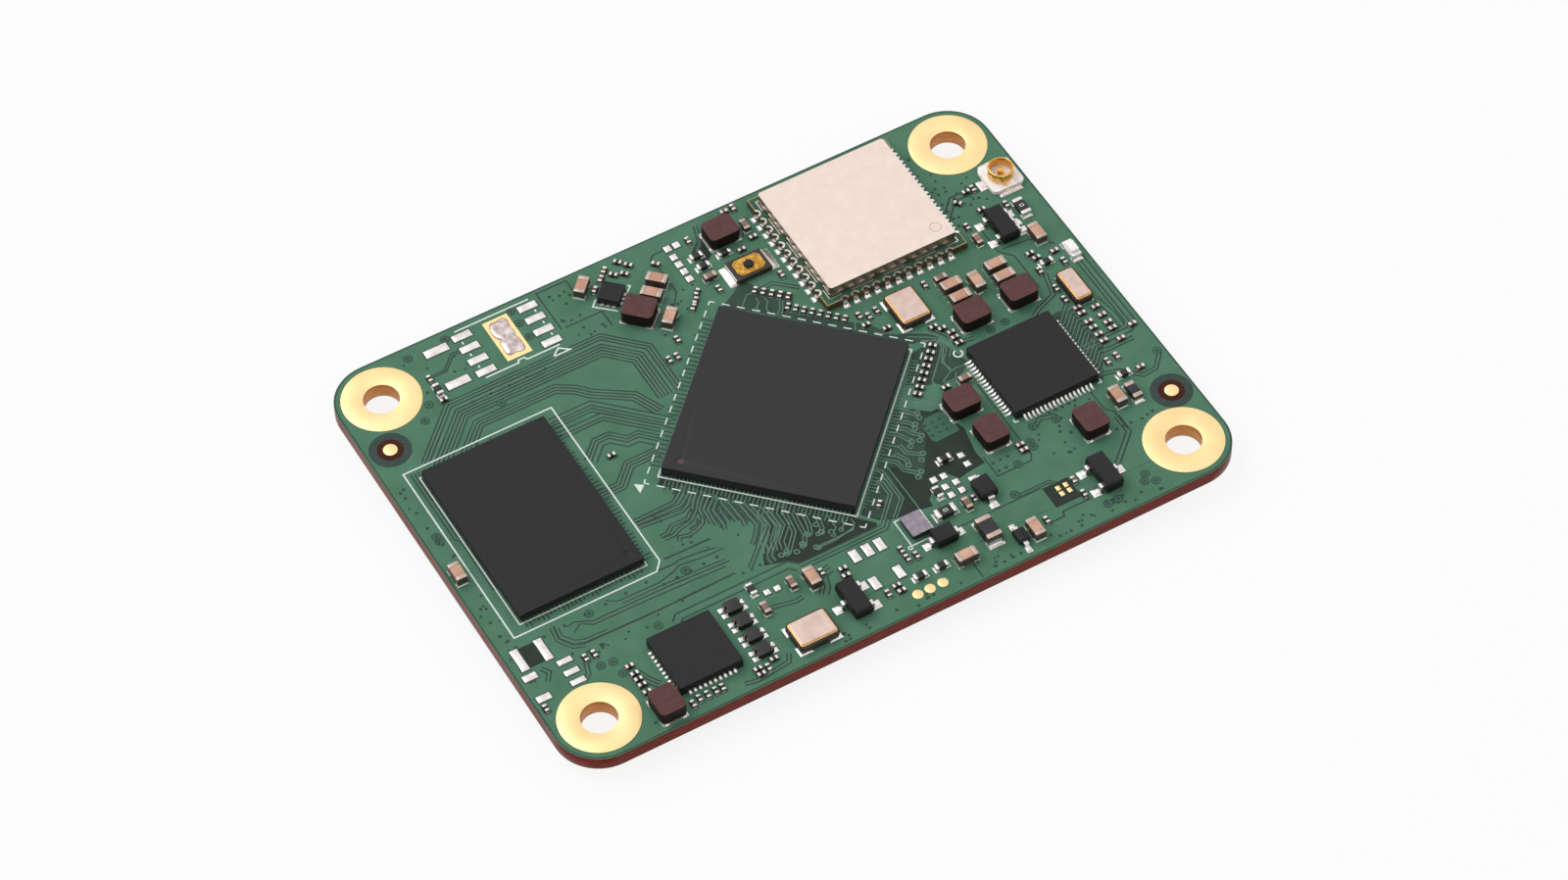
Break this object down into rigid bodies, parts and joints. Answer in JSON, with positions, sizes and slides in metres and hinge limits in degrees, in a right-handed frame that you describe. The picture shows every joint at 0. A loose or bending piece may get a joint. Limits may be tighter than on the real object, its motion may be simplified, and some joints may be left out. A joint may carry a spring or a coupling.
{
  "type": "system on module",
  "caption": "Small rectangular computer board with processor, memory, shielded radio, antenna socket and push button, corner holes and board-to-board plugs below.",
  "frame": {"origin": "centre of the board in plan, on the mating faces of the two plugs below it", "axes": "+X along the long side towards the antenna socket, +Y along the short side towards the radio module, +Z out of the populated side"},
  "size_m": [0.055, 0.04, 0.0039],
  "materials": {
    "green_laminate": "solder mask over glass-fibre laminate",
    "gold": "gold plate",
    "tin": "bright tin",
    "carrier": "thin laminate",
    "mould": "matt moulding compound",
    "nickel_silver": "satin sheet metal",
    "silicon": "ground silicon back",
    "ferrite": "fine pressed ferrite",
    "brown_ceramic": "fired ceramic",
    "dark_ceramic": "fired ceramic",
    "white_plastic": "moulded white plastic",
    "amber_film": "clear amber film"
  },
  "bodies": {
    "module": {"circuit_board": "green_laminate", "hole_platings": "gold", "gold_lands": "gold", "bare_lands": "tin", "part_lands": "tin", "processor_carrier": "carrier", "processor_mould": "mould", "processor_balls": "tin", "memory_carrier": "carrier", "memory_mould": "mould", "memory_balls": "tin", "radio_board": "carrier", "radio_joints": "tin", "radio_chip": "mould", "shield_frame": "nickel_silver", "shield_lid": "nickel_silver", "power_chip": "mould", "power_chip_leads": "tin", "network_chip": "mould", "network_chip_leads": "tin", "converter_chip": "mould", "converter_chip_leads": "tin", "sensor_chip": "silicon", "sensor_chip_bumps": "tin", "coil_bodies": "ferrite", "coil_terminals": "tin", "large_capacitor_bodies": "brown_ceramic", "large_capacitor_ends": "tin", "small_capacitor_bodies": "brown_ceramic", "small_capacitor_ends": "tin", "resistor_bodies": "dark_ceramic", "resistor_ends": "tin", "tiny_capacitor_bodies": "dark_ceramic", "tiny_capacitor_ends": "tin", "tiny_resistor_bodies": "dark_ceramic", "tiny_resistor_ends": "tin", "bead_bodies": "ferrite", "bead_ends": "tin", "line_filter_bodies": "ferrite", "line_filter_terminals": "tin", "crystal_bases": "dark_ceramic", "crystal_rims": "gold", "crystal_lids": "nickel_silver", "transistor_bodies": "mould", "transistor_leads": "tin", "diode_bodies": "mould", "diode_leads": "tin", "lamp_body": "white_plastic", "lamp_ends": "tin", "socket_base": "white_plastic", "socket_shell": "gold", "socket_pin": "gold", "button_frame": "mould", "button_terminals": "tin", "button_dome": "nickel_silver", "button_film": "amber_film", "connector_housings": "mould", "connector_contacts": "gold", "flash_chip": "mould"},
    "button": {"button_nub": "mould"}
  },
  "joints": [
    {"name": "button_press", "type": "slide", "parent": "module", "child": "button", "axis": [0, 0, -1], "range_m": [0, 0.00015], "stiffness_N_per_m": 400, "deforming": ["button_dome"]}
  ]
}
